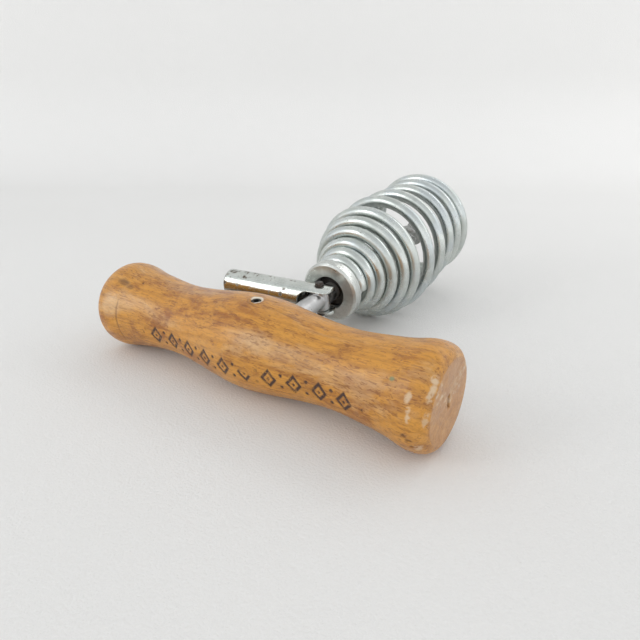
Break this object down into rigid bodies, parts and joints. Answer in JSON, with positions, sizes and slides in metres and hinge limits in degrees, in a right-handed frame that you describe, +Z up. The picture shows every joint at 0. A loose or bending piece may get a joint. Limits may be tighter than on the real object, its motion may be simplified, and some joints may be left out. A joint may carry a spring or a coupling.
{
  "type": "spring bell corkscrew with side lever",
  "caption": "Corkscrew with a turned wooden cross handle, a forked steel side lever, and a barrel shaped wire spring around the worm.",
  "frame": {"origin": "middle of the bounding box at table height", "axes": "+X along the handle, +Y from the handle toward the open end of the spring, +Z up from the table the tool lies on"},
  "size_m": [0.11, 0.1204, 0.0455],
  "materials": {
    "beech": "varnished, worn satin",
    "steel_pin": "dark oxidised steel",
    "plated_steel": "bright plated, lightly scratched",
    "turned_steel": "turned satin steel",
    "spring_wire": "zinc plated, soft gloss with a blue tint"
  },
  "bodies": {
    "grip": {"handle": "beech", "handle_pin": "steel_pin", "shank": "plated_steel", "lever_pin": "steel_pin", "worm_socket": "turned_steel", "socket_pin": "steel_pin", "worm": "plated_steel"},
    "side_lever": {"lever": "plated_steel"},
    "washer": {"thrust_washer": "turned_steel"},
    "bell": {"collar": "turned_steel", "bell_spring": "spring_wire"}
  },
  "joints": [
    {"name": "lever_swing", "type": "hinge", "parent": "grip", "child": "side_lever", "pos_m": [0, -0.01716, 0.01636], "axis": [0, -0.106, 0.9944], "range_deg": [-5, 17.5]},
    {"name": "bell_slide", "type": "slide", "parent": "grip", "child": "washer", "axis": [0, 0.9944, 0.106], "range_m": [0, 0.003]},
    {"name": "bell_spin", "type": "hinge", "parent": "washer", "child": "bell", "pos_m": [0, -0.00722, 0.01742], "axis": [0, 0.9944, 0.106], "continuous": true}
  ]
}
